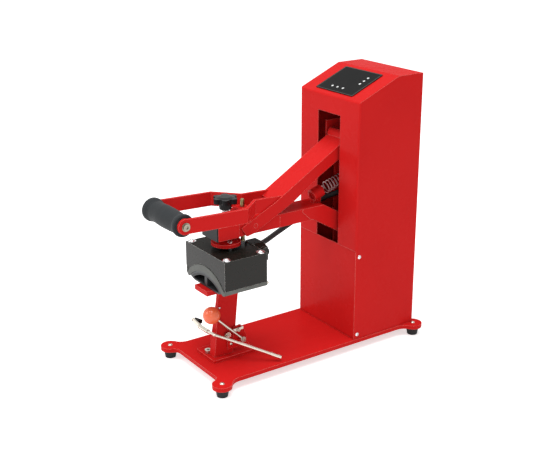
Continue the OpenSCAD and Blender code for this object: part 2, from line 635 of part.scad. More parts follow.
module grip_foam() color([0.13, 0.15, 0.18]) seat() translate([0, grip_pt.x, grip_pt.y])
  rotate([0, 90, 0]) rotate_extrude($fn = 64) polygon([[9.05, -grip_half], [22.8, -grip_half],
  [24.6, -grip_half + 2.5], [25, -grip_half + 7], [24, -grip_half + 11.5],
  [21.8, -grip_half + 17], [21, -grip_half + 22], [21.6, -25], [grip_r + 0.4, -10],
  [grip_r + 0.4, 10], [21.8, 25], [21, grip_half - 20], [21.2, grip_half - 14],
  [22.6, grip_half - 8.5], [23.2, grip_half - 4], [22.6, grip_half - 1.5],
  [21.4, grip_half], [9.05, grip_half]]);
module grip_bolts() color([0.75, 0.73, 0.66]) seat() both() translate([fork_x, grip_pt.x, grip_pt.y])
  rotate([0, 90, 0]) {
    cylinder(h = 1.2, r = 8.8);
    translate([0, 0, 1.19]) socket_head(7, 3.6);
    translate([0, 0, -22]) cylinder(h = 22.5, r = 4.02);
  }

// ---- pressure screw ----
module pressure_screw() color(chrome) seat() {
  bar_z(0, screw_y, 261, 333.5, screw_r);
  bar_z(0, screw_y, 255.5, 261.01, 5);
}
module pressure_knob() color(black) seat() translate([0, screw_y, 0]) difference() {
  union() {
    translate([0, 0, 329]) cylinder(h = 14.5, r1 = 12.5, r2 = 14.2);
    translate([0, 0, 343]) cylinder(h = 10.5, r = 20);
    for (a = [30:60:359]) rotate(a) translate([18.6, 0, 343]) cylinder(h = 10.5, r = 7.8, $fn = 28);
    translate([0, 0, 353.49]) cylinder(h = 1.7, r1 = 18.5, r2 = 12);
  }
  translate([0, 0, 320]) cylinder(h = 13.51, r = screw_r);
}

// ---- heater head ----
cover_screws = [-cover_left + 9.5, cover_x - 9];
module arch(r) translate([0, 0, arch_z]) rotate([90, 0, 0]) translate([0, 0, 200])
  cylinder(h = 140, r = r, $fn = 96);
module head_cover() color([0.14, 0.14, 0.14]) seat() difference() {
  union() {
    wall(cover_y0, cover_y1, concat([[-72, 181], [-76, 186], [-cover_left, 193.5]],
      arc([-cover_left + 1.5, cover_z - 1.5], 1.5, 180, 90, 3),
      arc([cover_x - 1.5, cover_z - 1.5], 1.5, 90, 0, 3), [[cover_x, 181]]));
    // connection box on the back
    wall(cover_y1 - 0.01, -187, [[-10, 213], [-10, 245], [-7, 247.5], [24, 247.5], [42, 241], [42, 213]]);
    bar_x([-199.5, 235.5], 41.9, 51, 9.5);
    bar_x(cable_hole, -26, -9.9, 8.4);
  }
  wall(cover_y0 + 2, cover_y1 - 2, [[-cover_left + 2, 170], [-cover_left + 2, cover_z - 2],
    [cover_x - 2, cover_z - 2], [cover_x - 2, 170]]);
  box(-8, 40, cover_y1 - 3, -189, 215, 239);
  arch(arch_r);
  wall(-317, -211, [[-77.4, 170], [-77.4, 189.6], [-72.9, 189.6], [-72.9, 170]]);
  for (x = cover_screws) for (y = [-305, -223]) bar_z(x, y, 240, 250, 3);
  both() bar_z(16, screw_y, 240, 250, 3.05);
  bar_z(0, rod_y, 240, 250, 4.3);
  bar_x(cable_hole, -30, -24.5, 6.15);
  bar_x(cable_hole, -25, -7, 2.5);
}
module heater_platen() color([0.66, 0.67, 0.66]) seat()
  wall(-316, -212, concat([[-70, 171.2], [-77.3, 177.6], [-77.3, 189.5], [-73, 189.5], [-73, 179]],
    arc([0, arch_z], 94.1, 180 - acos(72.9 / 94.1), acos(72.9 / 94.1), 28),
    [[73, 180.9], [75.4, 180.9], [75.4, 173], [71, 171.2]],
    arc([0, arc_z], heat_r, acos(66 / heat_r), 180 - acos(66 / heat_r), 28)));
module insulation() color([0.8, 0.78, 0.7]) seat() difference() {
  box(-72.5, 72.5, -312, -215.5, 186, 235);
  arch(94.2);
  for (x = cover_screws) for (y = [-305, -223]) bar_z(x, y, 225, 250, 3.2);
  bar_z(0, rod_y, 225, 250, 4.5);
}
module backing_plate() color(steel) seat() difference() {
  box(-76, 72.5, -312, -215.5, 237, 243.3);
  both() bar_z(16, screw_y, 230, 250, 3);
  for (x = cover_screws) for (y = [-305, -223]) bar_z(x, y, 230, 250, 2.9);
  bar_z(0, rod_y, 230, 250, 4.3);
}
collar_z = 252.5;
module head_collar() color(paint) seat() difference() {
  union() {
    bar_z(0, screw_y, collar_z, 260, 31);
    bar_z(0, screw_y, cover_z + 0.02, collar_z + 0.01, 9);
  }
  bar_z(0, screw_y, 255.4, 262, 5 + fit);
  both() bar_z(16, screw_y, 230, 262, 3.1);
}
module head_screws() color(chrome) seat() {
  // two long screws through the collar, with their sleeves
  both() translate([16, screw_y, 260]) {
    dome(5, 3.2);
    translate([0, 0, -21.5]) cylinder(h = 22, r = 2.95);
    translate([0, 0, cover_z - 260]) cylinder(h = collar_z - cover_z, r = 4.6);
  }
  for (x = cover_screws) for (y = [-305, -223]) translate([x, y, cover_z]) {
    cylinder(h = 1.2, r = 9);
    translate([0, 0, 1.19]) dome(6.6, 4);
    translate([0, 0, -8]) cylinder(h = 8.5, r = 2.85);
  }
}
module guide_rod() color([0.5, 0.47, 0.3]) seat() {
  bar_z(0, rod_y, 246, 340.5, rod_r);
  translate([0, rod_y, 340.49]) cylinder(h = 2.5, r1 = rod_r, r2 = 3);
  bar_z(0, rod_y, 237.5, 246.01, 4.25);
}
module guide_nut() color(chrome) seat() difference() {
  bar_z(0, rod_y, cover_z, 252, 8, $fn = 6);
  bar_z(0, rod_y, 240, 246, 4.3);
  bar_z(0, rod_y, 245.9, 255, rod_r + 0.01);
}
module heat_sensor() color(steel) seat() {
  box(69, 74.8, -211.98, -208.8, 174.8, 180);
  bar_y(72, 177.2, -210, -207, 1.8);
}
module heater_cable() color(black) seat() tube(cable_pts, cable_r, 8, [0, 0, 1]);

base_plate();
rubber_feet();
foot_screws();
tower_shell();
rear_cover();
lower_front_panel();
small_screws();
frame_plate_left();
frame_plate_right();
frame_bolts();
frame_spacers();
arm_pivot_pin();
control_membrane();
panel_keys();
control_board();
board_posts();
relay();
terminal_strip();
power_inlet();
switch_bezel();
power_switch();
post_foot();
post();
post_bolts();
platen_carrier();
lower_platen();
silicone_pad();
clamp_bracket();
clamp_bar();
clamp_shoe();
clamp_lever();
clamp_ball();
arm_channel();
arm_tube();
front_block();
arm_end_cap();
guide_block();
arm_bush();
lever_pin();
spring_boss();
screw_nut();
return_spring();
lever_channel();
fork_bars();
grip_tube();
grip_foam();
grip_bolts();
rear_roller();
pressure_screw();
pressure_knob();
head_cover();
heater_platen();
insulation();
backing_plate();
head_collar();
head_screws();
guide_rod();
guide_nut();
heat_sensor();
heater_cable();
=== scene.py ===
import json
import math

import bmesh
import bpy
from mathutils import Matrix, Vector
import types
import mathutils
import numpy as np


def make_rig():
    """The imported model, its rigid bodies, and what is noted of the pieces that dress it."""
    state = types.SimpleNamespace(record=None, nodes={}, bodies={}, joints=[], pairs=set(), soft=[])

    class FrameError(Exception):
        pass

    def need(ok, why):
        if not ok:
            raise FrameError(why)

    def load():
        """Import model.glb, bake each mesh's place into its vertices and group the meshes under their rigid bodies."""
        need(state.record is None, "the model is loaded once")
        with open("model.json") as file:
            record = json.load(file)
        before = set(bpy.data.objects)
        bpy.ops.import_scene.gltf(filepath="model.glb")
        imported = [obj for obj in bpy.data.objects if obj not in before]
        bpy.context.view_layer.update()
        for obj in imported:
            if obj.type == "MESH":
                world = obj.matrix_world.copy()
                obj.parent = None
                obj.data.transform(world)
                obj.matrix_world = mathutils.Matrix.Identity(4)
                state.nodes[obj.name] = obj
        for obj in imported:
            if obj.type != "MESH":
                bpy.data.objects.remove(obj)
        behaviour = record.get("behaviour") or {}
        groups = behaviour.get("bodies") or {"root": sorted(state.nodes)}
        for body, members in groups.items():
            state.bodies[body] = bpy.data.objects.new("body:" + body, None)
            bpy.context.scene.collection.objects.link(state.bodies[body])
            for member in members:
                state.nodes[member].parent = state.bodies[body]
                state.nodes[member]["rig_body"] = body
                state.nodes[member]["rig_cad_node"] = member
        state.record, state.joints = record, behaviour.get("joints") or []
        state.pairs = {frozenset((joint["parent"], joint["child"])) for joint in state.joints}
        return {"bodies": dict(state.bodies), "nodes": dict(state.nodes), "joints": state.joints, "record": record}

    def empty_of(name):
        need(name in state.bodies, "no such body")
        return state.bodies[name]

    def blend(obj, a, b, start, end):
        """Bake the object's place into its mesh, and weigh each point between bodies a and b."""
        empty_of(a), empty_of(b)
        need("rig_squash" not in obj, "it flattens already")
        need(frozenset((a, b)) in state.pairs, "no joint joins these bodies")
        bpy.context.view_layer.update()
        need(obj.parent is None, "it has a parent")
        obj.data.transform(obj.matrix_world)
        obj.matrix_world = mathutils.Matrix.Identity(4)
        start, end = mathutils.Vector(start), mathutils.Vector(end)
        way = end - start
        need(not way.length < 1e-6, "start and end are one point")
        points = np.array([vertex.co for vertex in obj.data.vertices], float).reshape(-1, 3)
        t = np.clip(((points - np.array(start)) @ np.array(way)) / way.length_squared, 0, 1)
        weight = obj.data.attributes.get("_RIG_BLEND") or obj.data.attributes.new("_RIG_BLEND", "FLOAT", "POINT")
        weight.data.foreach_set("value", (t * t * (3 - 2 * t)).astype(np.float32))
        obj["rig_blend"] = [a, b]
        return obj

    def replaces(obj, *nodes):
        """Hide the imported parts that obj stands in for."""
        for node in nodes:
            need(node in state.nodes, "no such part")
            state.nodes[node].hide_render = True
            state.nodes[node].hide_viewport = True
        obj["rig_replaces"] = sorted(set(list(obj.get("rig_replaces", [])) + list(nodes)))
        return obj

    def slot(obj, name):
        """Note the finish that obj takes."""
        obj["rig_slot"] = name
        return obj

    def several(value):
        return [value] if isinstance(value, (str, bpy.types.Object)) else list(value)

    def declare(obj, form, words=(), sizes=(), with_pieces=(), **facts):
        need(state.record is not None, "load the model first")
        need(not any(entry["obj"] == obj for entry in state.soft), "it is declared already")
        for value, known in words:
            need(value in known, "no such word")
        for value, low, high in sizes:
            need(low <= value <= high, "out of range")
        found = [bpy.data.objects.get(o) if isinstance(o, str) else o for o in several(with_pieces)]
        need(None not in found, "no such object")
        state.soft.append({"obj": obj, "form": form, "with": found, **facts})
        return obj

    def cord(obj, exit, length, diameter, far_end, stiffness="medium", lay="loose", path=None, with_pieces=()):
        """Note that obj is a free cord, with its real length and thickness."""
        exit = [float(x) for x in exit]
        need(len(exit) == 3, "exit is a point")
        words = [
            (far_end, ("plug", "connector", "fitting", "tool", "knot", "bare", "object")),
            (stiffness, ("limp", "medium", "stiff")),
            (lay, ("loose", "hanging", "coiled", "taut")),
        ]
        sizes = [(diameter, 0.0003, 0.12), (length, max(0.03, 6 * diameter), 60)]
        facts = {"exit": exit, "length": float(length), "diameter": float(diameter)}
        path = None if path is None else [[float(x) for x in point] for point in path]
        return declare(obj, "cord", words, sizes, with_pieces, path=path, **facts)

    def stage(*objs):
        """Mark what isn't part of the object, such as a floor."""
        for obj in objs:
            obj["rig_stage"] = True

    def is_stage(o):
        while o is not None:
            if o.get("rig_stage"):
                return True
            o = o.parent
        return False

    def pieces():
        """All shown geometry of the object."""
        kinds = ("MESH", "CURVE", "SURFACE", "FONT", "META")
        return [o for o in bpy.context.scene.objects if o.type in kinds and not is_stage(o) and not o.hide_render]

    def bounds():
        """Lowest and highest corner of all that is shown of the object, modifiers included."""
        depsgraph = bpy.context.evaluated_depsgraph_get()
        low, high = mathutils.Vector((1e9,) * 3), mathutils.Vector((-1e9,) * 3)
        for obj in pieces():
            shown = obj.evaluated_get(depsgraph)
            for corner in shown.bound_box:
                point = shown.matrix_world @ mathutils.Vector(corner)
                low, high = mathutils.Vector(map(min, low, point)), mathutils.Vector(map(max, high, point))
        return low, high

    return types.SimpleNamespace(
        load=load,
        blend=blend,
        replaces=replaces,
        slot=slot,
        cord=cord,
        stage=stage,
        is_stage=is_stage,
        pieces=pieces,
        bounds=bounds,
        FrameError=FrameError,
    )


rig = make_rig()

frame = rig.load()
cad_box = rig.bounds()
nodes = frame["nodes"]
record = frame["record"]

MM = 0.001      # metres in a millimetre
MID_Y = 113.5   # the source's shift of y, in mm
DECK_Z = 27.0   # height of the deck over the floor, in mm


def at(x, y, z):
    """A point given in the source's working millimetres, in the row frame in metres."""
    return Vector((x * MM, (y + MID_Y) * MM, (z + DECK_Z) * MM))


# Node trees: short calls for the nodes that the materials, the floor and the world use
class Graph:
    """A node tree that starts with nothing but its output node."""

    def __init__(self, tree, output_kind):
        self.tree = tree
        self.tree.nodes.clear()
        self.out = self.add(output_kind)

    def add(self, kind, **settings):
        node = self.tree.nodes.new(kind)
        for key, value in settings.items():
            setattr(node, key, value)
        return node

    def put(self, socket, value):
        """Link a socket to another node's output, or set it to a value."""
        if isinstance(value, bpy.types.NodeSocket):
            self.tree.links.new(value, socket)
        elif hasattr(value, "__len__") and len(value) == 3 and socket.type == "RGBA":
            socket.default_value = (*value, 1.0)
        else:
            socket.default_value = value

    def math(self, kind, a, b=0.0):
        node = self.add("ShaderNodeMath", operation=kind)
        self.put(node.inputs[0], a)
        self.put(node.inputs[1], b)
        return node.outputs[0]

    def ramp(self, value, low, high, start=0.0, end=1.0):
        """Maps value from low..high to start..end, clamped."""
        node = self.add("ShaderNodeMapRange")
        self.put(node.inputs["Value"], value)
        self.put(node.inputs["From Min"], low)
        self.put(node.inputs["From Max"], high)
        self.put(node.inputs["To Min"], start)
        self.put(node.inputs["To Max"], end)
        return node.outputs["Result"]

    def shown(self):
        """1 for what the camera sees straight, in a reflection or through glass, else 0."""
        path = self.add("ShaderNodeLightPath")
        seen = self.math("MAXIMUM", path.outputs["Is Camera Ray"], path.outputs["Is Glossy Ray"])
        return self.math("MAXIMUM", seen, path.outputs["Is Transmission Ray"])


class Look(Graph):
    """A material's node tree, with patterns in the object's own metres."""

    def __init__(self, name):
        self.name = name
        self.material = bpy.data.materials.new(name)
        self.material.use_nodes = True
        super().__init__(self.material.node_tree, "ShaderNodeOutputMaterial")
        self.place = self.add("ShaderNodeTexCoord")

    def noise(self, scale, detail, rough=0.5, stretch=(1, 1, 1)):
        mapping = self.add("ShaderNodeMapping")
        self.put(mapping.inputs["Vector"], self.place.outputs["Object"])
        self.put(mapping.inputs["Scale"], stretch)
        pattern = self.add("ShaderNodeTexNoise")
        self.put(pattern.inputs["Vector"], mapping.outputs[0])
        self.put(pattern.inputs["Scale"], scale)
        self.put(pattern.inputs["Detail"], detail)
        self.put(pattern.inputs["Roughness"], rough)
        return pattern.outputs["Fac"]

    def rings(self, scale):
        """Bands across the object's z axis."""
        pattern = self.add("ShaderNodeTexWave", bands_direction="Z")
        self.put(pattern.inputs["Vector"], self.place.outputs["Object"])
        self.put(pattern.inputs["Scale"], scale)
        return pattern.outputs["Fac"]

    def pores(self, scale):
        """0 in the middle of each cell, 1 between the cells."""
        pattern = self.add("ShaderNodeTexVoronoi", feature="F1")
        self.put(pattern.inputs["Vector"], self.place.outputs["Object"])
        self.put(pattern.inputs["Scale"], scale)
        return self.ramp(pattern.outputs["Distance"], low=0.05, high=0.5)

    def frame_line(self, inner, outer, blur):
        """1 on a line round the piece in x and y, from inner to outer, as shares of its size."""
        split = self.add("ShaderNodeSeparateXYZ")
        self.put(split.inputs[0], self.place.outputs["Generated"])
        across = self.math("ABSOLUTE", self.math("SUBTRACT", split.outputs["X"], 0.5))
        along = self.math("ABSOLUTE", self.math("SUBTRACT", split.outputs["Y"], 0.5))
        outward = self.math("MAXIMUM", across, along)
        return self.math("SUBTRACT", self.ramp(outward, low=inner, high=inner + blur),
                         self.ramp(outward, low=outer, high=outer + blur))

    def mix(self, factor, a, b):
        node = self.add("ShaderNodeMix", data_type="RGBA")
        self.put(node.inputs["Factor"], factor)
        self.put(node.inputs["A"], a)
        self.put(node.inputs["B"], b)
        return node.outputs["Result"]

    def bump(self, height, distance, strength, normal=None):
        node = self.add("ShaderNodeBump")
        self.put(node.inputs["Strength"], strength)
        self.put(node.inputs["Distance"], distance)
        self.put(node.inputs["Height"], height)
        if normal is not None:
            self.put(node.inputs["Normal"], normal)
        return node.outputs["Normal"]

    def soft_edge(self, radius):
        node = self.add("ShaderNodeBevel", samples=4)
        self.put(node.inputs["Radius"], radius)
        return node.outputs["Normal"]

    def edge_mask(self, radius):
        """Near 1 on sharp edges: how far the rounded normal leaves the true one."""
        geometry = self.add("ShaderNodeNewGeometry")
        dot = self.add("ShaderNodeVectorMath", operation="DOT_PRODUCT")
        self.put(dot.inputs[0], self.soft_edge(radius))
        self.put(dot.inputs[1], geometry.outputs["Normal"])
        return self.ramp(dot.outputs["Value"], low=0.97, high=0.8)

    def upward(self, low, high):
        """Changes from low to high where the surface faces up."""
        geometry = self.add("ShaderNodeNewGeometry")
        split = self.add("ShaderNodeSeparateXYZ")
        self.put(split.inputs[0], geometry.outputs["Normal"])
        return self.ramp(split.outputs["Z"], low=0.85, high=0.97, start=low, end=high)

    def crevice(self, distance):
        """Near 1 in inner corners."""
        node = self.add("ShaderNodeAmbientOcclusion", samples=6)
        self.put(node.inputs["Distance"], distance)
        return self.ramp(node.outputs["AO"], low=0.75, high=0.25)

    def shade_corners(self, body, distance, share, corner_shade):
        """The body colour with a share of a darker one painted into its inner corners as shade."""
        return self.mix(self.math("MULTIPLY", self.crevice(distance), share), body, corner_shade)

    def surface(self, **inputs):
        """Finish the material and give its name with it; Blender may add a number to its own."""
        shader = self.add("ShaderNodeBsdfPrincipled")
        for key, value in inputs.items():
            self.put(shader.inputs[key], value)
        self.put(self.out.inputs["Surface"], shader.outputs[0])
        return self.name, self.material


# Materials: one function for each kind of finish
METAL_CORNER_SHADE = (0.06, 0.05, 0.045)             # painted shade: a dark colour put into the inner corners of bare metal
THREAD_GROOVE = (0.12, 0.12, 0.125)     # the shaded groove of a screw thread
WAVE_TURNS = 20.0                       # a Wave texture's bands: one in 2 pi / 20 of its unit
MOULDED_IOR = 1.46


def shaded(color, factor, lift=0.0):
    """A colour times a factor, with a little added to every channel."""
    return tuple(channel * factor + lift for channel in color)


def powder_coat(name, color, deep, edge_highlight, rough, gloss, ior=1.15):
    """Semi-gloss powder coat: orange peel, painted highlights on the edges, painted shade in the inner corners."""
    look = Look(name)
    patches = look.noise(scale=7.0, detail=5.0)
    body = look.mix(look.ramp(patches, low=0.35, high=0.7, start=0.0, end=0.3), color, deep)
    # painted shade: a darker copy of the deep colour in inner corners and seams
    body = look.shade_corners(body, distance=0.012, share=0.5, corner_shade=shaded(deep, factor=0.4))
    # painted highlight: a pale colour on the edges, broken up by noise, stands for light caught by the edges
    edge_highlight_breakup = look.noise(scale=240.0, detail=3.0)
    edge_highlight_share = look.ramp(edge_highlight_breakup, low=0.3, high=0.65, start=0.5, end=1.0)
    edge_highlight_mask = look.math("MULTIPLY", look.edge_mask(radius=0.0013), edge_highlight_share)
    body = look.mix(edge_highlight_mask, body, edge_highlight)
    peel = look.noise(scale=900.0, detail=2.0)
    swell = look.noise(scale=70.0, detail=2.0)
    normal = look.bump(peel, distance=0.00002, strength=0.5, normal=look.soft_edge(radius=0.0009))
    normal = look.bump(swell, distance=0.00010, strength=0.3, normal=normal)
    smear = look.noise(scale=22.0, detail=6.0, rough=0.65)
    roughness = look.ramp(smear, low=0.3, high=0.75, start=rough - 0.05, end=rough + 0.09)
    top_dimmed_gloss = gloss * 0.08   # painted shade: what faces up reflects less, which darkens the tops
    return look.surface(**{"Base Color": body, "Roughness": roughness, "Normal": normal,
                           "IOR": ior, "Specular IOR Level": look.upward(gloss, top_dimmed_gloss)})


def metal(name, color, rough, stretch=(1, 1, 1), scale=500.0, depth=0.00002, corner_shade_share=0.3):
    """Bare or plated metal: a fine grain, drawn out into lines by stretch, and painted shade in the corners."""
    look = Look(name)
    lines = look.noise(scale, detail=3.0, stretch=stretch)
    cloud = look.noise(scale=35.0, detail=5.0)
    body = look.mix(look.ramp(cloud, low=0.35, high=0.7), color, shaded(color, factor=0.85))
    # painted shade: a dark colour in the inner corners
    body = look.shade_corners(body, distance=0.004, share=corner_shade_share, corner_shade=METAL_CORNER_SHADE)
    roughness = look.ramp(lines, low=0.3, high=0.7, start=rough - 0.06, end=rough + 0.1)
    normal = look.bump(lines, depth, strength=0.6, normal=look.soft_edge(radius=0.0004))
    return look.surface(**{"Base Color": body, "Metallic": 1.0, "Roughness": roughness,
                           "Normal": normal})


def threaded(name, color, rough, pitch):
    """Plated screw: its thread is rings of bump at the real pitch in mm."""
    look = Look(name)
    rings = look.rings(2 * math.pi / (WAVE_TURNS * pitch * MM))
    cloud = look.noise(scale=60.0, detail=4.0)
    groove = look.ramp(rings, low=0.0, high=0.55, start=0.55, end=0.0)
    body = look.mix(groove, color, THREAD_GROOVE)
    roughness = look.ramp(cloud, low=0.3, high=0.7, start=rough, end=rough + 0.1)
    normal = look.bump(rings, distance=0.0005, strength=0.9)
    return look.surface(**{"Base Color": body, "Metallic": 1.0, "Roughness": roughness,
                           "Normal": normal})


def plastic(name, color, rough, grain=1400.0, depth=0.00003, coat=0.0, gloss=0.35):
    """Moulded plastic or rubber with a fine texture."""
    look = Look(name)
    fine = look.noise(grain, detail=2.0)
    cloud = look.noise(scale=18.0, detail=4.0)
    clouded = shaded(color, factor=0.8, lift=0.004)
    body = look.mix(look.ramp(cloud, low=0.3, high=0.75), color, clouded)
    # painted shade: a darker copy of the colour in inner corners
    body = look.shade_corners(body, distance=0.006, share=0.4, corner_shade=shaded(color, factor=0.4))
    roughness = look.ramp(cloud, low=0.3, high=0.7, start=rough - 0.04, end=rough + 0.06)
    normal = look.bump(fine, depth, strength=0.5, normal=look.soft_edge(radius=0.0005))
    return look.surface(**{"Base Color": body, "Roughness": roughness, "Normal": normal,
                           "IOR": MOULDED_IOR, "Specular IOR Level": gloss,
                           "Coat Weight": coat, "Coat Roughness": 0.05})


def printed_film(name, color, line):
    """Satin film of a control panel with a thin printed border."""
    look = Look(name)
    border = look.frame_line(inner=0.472, outer=0.486, blur=0.004)
    cloud = look.noise(scale=18.0, detail=4.0)
    clouded = shaded(color, factor=0.8, lift=0.004)
    body = look.mix(look.ramp(cloud, low=0.3, high=0.75), color, clouded)
    body = look.mix(border, body, line)
    roughness = look.ramp(cloud, low=0.3, high=0.7, start=0.46, end=0.56)
    fine = look.noise(scale=1800.0, detail=2.0)
    normal = look.bump(fine, distance=0.00001, strength=0.5, normal=look.soft_edge(radius=0.0005))
    return look.surface(**{"Base Color": body, "Roughness": roughness, "Normal": normal,
                           "IOR": MOULDED_IOR, "Specular IOR Level": 0.05})


def foam(name, color):
    """Closed-cell foam: small pores with painted shade in them, a faint sheen and rubbed, paler patches."""
    look = Look(name)
    pores = look.pores(scale=900.0)
    rub = look.noise(scale=26.0, detail=6.0, rough=0.6)
    paler = shaded(color, factor=1.5, lift=0.008)
    body = look.mix(look.ramp(rub, low=0.35, high=0.75), color, paler)
    # painted shade: the middle of each pore is darker
    pore_shade = look.ramp(pores, low=0.0, high=1.0, start=0.35, end=0.0)
    body = look.mix(pore_shade, body, shaded(color, factor=0.4))
    normal = look.bump(pores, distance=0.00012, strength=0.6)
    roughness = look.ramp(rub, low=0.3, high=0.7, start=0.68, end=0.85)
    return look.surface(**{"Base Color": body, "Roughness": roughness, "Normal": normal,
                           "Sheen Weight": 0.08, "Sheen Roughness": 0.4, "IOR": 1.4})


def all_looks():
    """A material for each of the record's slots, and the screw's thread as one more."""
    # the pale edge colours below are painted highlights on the edges
    yield powder_coat("red_paint", color=(0.67, 0.0170, 0.0165), deep=(0.56, 0.0120, 0.0120),
                      edge_highlight=(1.0, 0.34, 0.30), rough=0.25, gloss=0.3)
    yield powder_coat("cover_black", color=(0.0140, 0.0130, 0.0105),
                      deep=(0.0095, 0.0090, 0.0080), edge_highlight=(0.70, 0.69, 0.65),
                      rough=0.27, gloss=0.5, ior=1.3)
    yield metal("zinc_steel", (0.58, 0.55, 0.48), rough=0.24, stretch=(1, 1, 6))
    yield metal("chrome", (0.78, 0.78, 0.79), rough=0.14, scale=260.0, depth=0.00001)
    # nickel takes a larger share of painted shade in its corners
    yield metal("nickel", (0.72, 0.66, 0.57), rough=0.2, scale=260.0, depth=0.00001, corner_shade_share=0.6)
    yield metal("spring_steel", (0.40, 0.21, 0.21), rough=0.34)
    yield metal("bolt_bronze", (0.34, 0.31, 0.24), rough=0.28)
    yield metal("brass", (0.30, 0.27, 0.13), rough=0.38, stretch=(1, 1, 0.2))
    yield metal("platen_alu", (0.120, 0.124, 0.115), rough=0.5, stretch=(1, 0.08, 1), scale=420.0)
    yield threaded("thread", (0.72, 0.72, 0.73), rough=0.18, pitch=2.0)
    yield plastic("platen_dark", (0.035, 0.037, 0.04), rough=0.45, grain=500.0)
    yield plastic("silicone", (0.030, 0.040, 0.043), rough=0.34, grain=300.0, coat=0.2)
    yield plastic("foot_rubber", (0.020, 0.020, 0.021), rough=0.72, grain=700.0)
    yield plastic("cable_rubber", (0.022, 0.024, 0.025), rough=0.5, grain=900.0)
    yield plastic("black_plastic", (0.010, 0.010, 0.011), rough=0.36, gloss=0.15)
    yield plastic("key_white", (0.82, 0.84, 0.83), rough=0.3, coat=0.3)
    yield plastic("board_green", (0.01, 0.10, 0.04), rough=0.35)
    yield plastic("terminal_cream", (0.62, 0.57, 0.42), rough=0.45)
    yield plastic("switch_red", (0.45, 0.02, 0.02), rough=0.25, coat=0.4)
    yield plastic("ball_red", (1.0, 0.17, 0.065), rough=0.16, grain=300.0, depth=0.00001,
                  coat=0.25)
    yield plastic("insulation", (0.62, 0.58, 0.46), rough=0.9, grain=300.0, depth=0.0002)
    yield printed_film("membrane", (0.011, 0.0115, 0.0115), line=(0.10, 0.10, 0.09))
    yield foam("grip_foam", (0.0100, 0.0125, 0.0145))


LOOKS = dict(all_looks())

for part in record["subparts"]:
    look = LOOKS[part["material_slot"]]
    if part["node"] == "pressure_screw":
        look = LOOKS["thread"]
    mesh = nodes[part["node"]].data
    mesh.materials.clear()
    mesh.materials.append(look)


# Tubes for the spring and the cable, which change shape with the joints
def directions(points):
    """The unit direction of a line at each of its points."""
    last = len(points) - 1
    return [(points[min(i + 1, last)] - points[max(i - 1, 0)]).normalized()
            for i in range(last + 1)]


def tube_mesh(name, points, radius, sides):
    """A closed round tube along points, with its rings carried along without twist."""
    mesh = bmesh.new()
    headings = directions(points)
    side = headings[0].orthogonal()
    rings = []
    for point, along in zip(points, headings):
        side = (side - side.dot(along) * along).normalized()
        other = along.cross(side)
        ring = []
        for k in range(sides):
            angle = 2 * math.pi * k / sides
            outward = math.cos(angle) * side + math.sin(angle) * other
            ring.append(mesh.verts.new(point + radius * outward))
        rings.append(ring)
    for one, two in zip(rings, rings[1:]):
        for k in range(sides):
            after = (k + 1) % sides
            mesh.faces.new((one[k], one[after], two[after], two[k])).smooth = True
    mesh.faces.new(list(reversed(rings[0])))
    mesh.faces.new(rings[-1])
    bmesh.ops.recalc_face_normals(mesh, faces=mesh.faces)
    data = bpy.data.meshes.new(name)
    mesh.to_mesh(data)
    mesh.free()
    piece = bpy.data.objects.new(name, data)
    bpy.context.scene.collection.objects.link(piece)
    return piece


def smooth(points, steps):
    """Catmull-Rom curve through points."""
    last = len(points) - 1
    line = []
    for i in range(last):
        a = points[max(i - 1, 0)]
        b = points[i]
        c = points[i + 1]
        d = points[min(i + 2, last)]
        for k in range(steps):
            t = k / steps
            line.append(0.5 * (2 * b + (c - a) * t + (2 * a - 5 * b + 4 * c - d) * t * t
                               + (3 * b - a - 3 * c + d) * t ** 3))
    return line + [points[-1]]


def path_length(points):
    return sum((b - a).length for a, b in zip(points, points[1:]))


# Return spring, in the source's working millimetres
SPRING_TILT = math.radians(17.6)
SPRING_START = Vector((0, -19, 324.6))   # in the arm's boss
SPRING_LENGTH = 137.1                    # from the boss to the frame's rail
SPRING_TURNS = 16
COIL_RADIUS = 12.3
WIRE_RADIUS = 1.3
WIRE_END = 0.1        # from the seats to the wire's ends
STRAIGHT_END = 3.2    # from the seats to the end of the straight wire
COIL_END = 6.0        # from the seats to the first and last coil
CONE_START = 0.4 / 6  # share of the coil's full radius at its ends
CONE_GAIN = 8 / 6     # share of it gained in a turn from there
STEPS_A_TURN = 24
WIRE_SIDES = 10


def spring_points():
    """The wound tension spring from the arm's boss to the frame's rail."""
    sideways = Vector((1, 0, 0))
    along = Vector((0, math.cos(SPRING_TILT), math.sin(SPRING_TILT)))
    across = Vector((0, -math.sin(SPRING_TILT), math.cos(SPRING_TILT)))
    steps = SPRING_TURNS * STEPS_A_TURN
    coil_length = SPRING_LENGTH - 2 * COIL_END
    points = [SPRING_START + WIRE_END * along, SPRING_START + STRAIGHT_END * along]
    for i in range(steps + 1):
        turns = i / STEPS_A_TURN
        turns_from_end = min(turns, SPRING_TURNS - turns)
        radius = COIL_RADIUS * min(1, CONE_START + CONE_GAIN * turns_from_end)
        angle = 2 * math.pi * turns
        points.append(SPRING_START + (COIL_END + coil_length * i / steps) * along
                      + radius * math.cos(angle) * sideways + radius * math.sin(angle) * across)
    points.append(SPRING_START + (SPRING_LENGTH - STRAIGHT_END) * along)
    points.append(SPRING_START + (SPRING_LENGTH - WIRE_END) * along)
    return [at(*p) for p in points]


spring_line = spring_points()
spring = tube_mesh("spring_coil", spring_line, WIRE_RADIUS * MM, WIRE_SIDES)
spring.data.materials.append(LOOKS["spring_steel"])
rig.slot(spring, "spring_steel")
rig.replaces(spring, "return_spring")
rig.blend(spring, "arm", "frame", spring_line[0], spring_line[-1])

